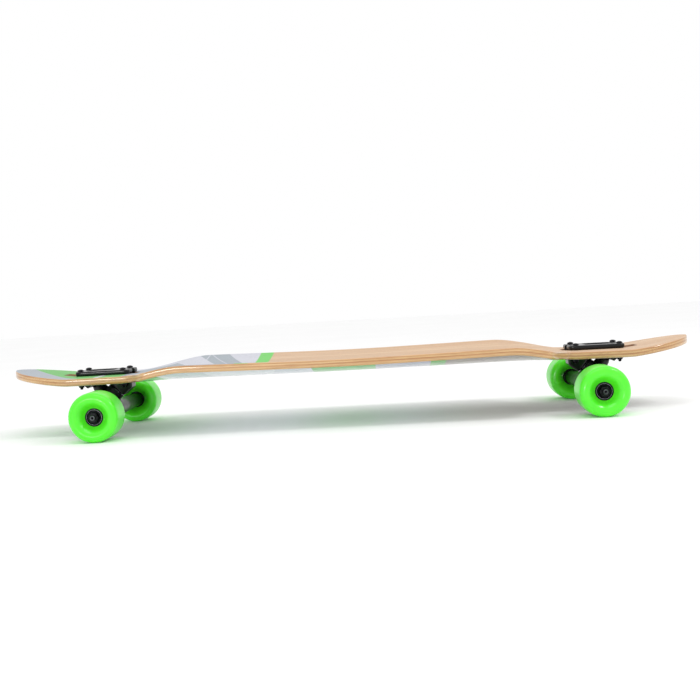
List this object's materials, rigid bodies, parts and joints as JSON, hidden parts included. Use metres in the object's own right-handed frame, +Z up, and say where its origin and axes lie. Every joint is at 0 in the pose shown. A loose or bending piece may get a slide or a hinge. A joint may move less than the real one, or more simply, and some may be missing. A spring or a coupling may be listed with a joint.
{
  "type": "skateboard",
  "caption": "Drop-through longboard: concave laminated deck with drawn-in necks, kingpin trucks that steer when leaned, and rolling urethane wheels.",
  "frame": {"origin": "on the floor under the middle of the deck", "axes": "+X along the deck to the front truck, +Y across to a rider's left when facing forward, +Z up"},
  "size_m": [1.003, 0.28, 0.1001],
  "materials": {
    "maple_laminate": "clear lacquer with printed film",
    "black_cast_alloy": "satin black paint",
    "green_urethane": "gloss cast urethane",
    "black_nylon": "satin moulded",
    "dark_bearing_steel": "blackened shield",
    "zinc_steel": "zinc plated",
    "black_steel": "black oxide",
    "bushing_urethane": "matte cast urethane"
  },
  "bodies": {
    "board": {"deck": "maple_laminate", "baseplate_front": "black_cast_alloy", "pivot_cup_front": "black_nylon", "kingpin_front": "black_steel", "bushing_boardside_front": "bushing_urethane", "bushing_roadside_front": "bushing_urethane", "washer_boardside_front": "zinc_steel", "washer_roadside_front": "zinc_steel", "kingpin_nut_front": "black_steel", "mount_bolt_front_1": "black_steel", "mount_nut_front_1": "black_steel", "mount_bolt_front_2": "black_steel", "mount_nut_front_2": "black_steel", "mount_bolt_front_3": "black_steel", "mount_nut_front_3": "black_steel", "mount_bolt_front_4": "black_steel", "mount_nut_front_4": "black_steel", "baseplate_rear": "black_cast_alloy", "pivot_cup_rear": "black_nylon", "kingpin_rear": "black_steel", "bushing_boardside_rear": "bushing_urethane", "bushing_roadside_rear": "bushing_urethane", "washer_boardside_rear": "zinc_steel", "washer_roadside_rear": "zinc_steel", "kingpin_nut_rear": "black_steel", "mount_bolt_rear_1": "black_steel", "mount_nut_rear_1": "black_steel", "mount_bolt_rear_2": "black_steel", "mount_nut_rear_2": "black_steel", "mount_bolt_rear_3": "black_steel", "mount_nut_rear_3": "black_steel", "mount_bolt_rear_4": "black_steel", "mount_nut_rear_4": "black_steel"},
    "truck_front": {"hanger_front": "black_cast_alloy", "axle_front": "zinc_steel", "axle_nut_front_left": "zinc_steel", "axle_nut_front_right": "zinc_steel"},
    "wheel_body_front_left": {"wheel_front_left": "green_urethane", "core_front_left": "black_nylon", "bearing_outer_front_left": "dark_bearing_steel", "bearing_inner_front_left": "dark_bearing_steel"},
    "wheel_body_front_right": {"wheel_front_right": "green_urethane", "core_front_right": "black_nylon", "bearing_outer_front_right": "dark_bearing_steel", "bearing_inner_front_right": "dark_bearing_steel"},
    "truck_rear": {"hanger_rear": "black_cast_alloy", "axle_rear": "zinc_steel", "axle_nut_rear_left": "zinc_steel", "axle_nut_rear_right": "zinc_steel"},
    "wheel_body_rear_left": {"wheel_rear_left": "green_urethane", "core_rear_left": "black_nylon", "bearing_outer_rear_left": "dark_bearing_steel", "bearing_inner_rear_left": "dark_bearing_steel"},
    "wheel_body_rear_right": {"wheel_rear_right": "green_urethane", "core_rear_right": "black_nylon", "bearing_outer_rear_right": "dark_bearing_steel", "bearing_inner_rear_right": "dark_bearing_steel"}
  },
  "joints": [
    {"name": "steer_front", "type": "hinge", "parent": "board", "child": "truck_front", "pos_m": [0.35177, 0, 0.03436], "axis": [0.6428, 0, 0.766], "range_deg": [-15, 15], "stiffness_Nm_per_rad": 60, "deforming": ["bushing_boardside_front", "bushing_roadside_front"]},
    {"name": "spin_front_left", "type": "hinge", "parent": "truck_front", "child": "wheel_body_front_left", "pos_m": [0.351, 0.115, 0.035], "axis": [0, 1, 0], "continuous": true},
    {"name": "spin_front_right", "type": "hinge", "parent": "truck_front", "child": "wheel_body_front_right", "pos_m": [0.351, -0.115, 0.035], "axis": [0, 1, 0], "continuous": true},
    {"name": "steer_rear", "type": "hinge", "parent": "board", "child": "truck_rear", "pos_m": [-0.35177, 0, 0.03436], "axis": [-0.6428, 0, 0.766], "range_deg": [-15, 15], "stiffness_Nm_per_rad": 60, "deforming": ["bushing_boardside_rear", "bushing_roadside_rear"]},
    {"name": "spin_rear_left", "type": "hinge", "parent": "truck_rear", "child": "wheel_body_rear_left", "pos_m": [-0.351, 0.115, 0.035], "axis": [0, 1, 0], "continuous": true},
    {"name": "spin_rear_right", "type": "hinge", "parent": "truck_rear", "child": "wheel_body_rear_right", "pos_m": [-0.351, -0.115, 0.035], "axis": [0, 1, 0], "continuous": true}
  ]
}
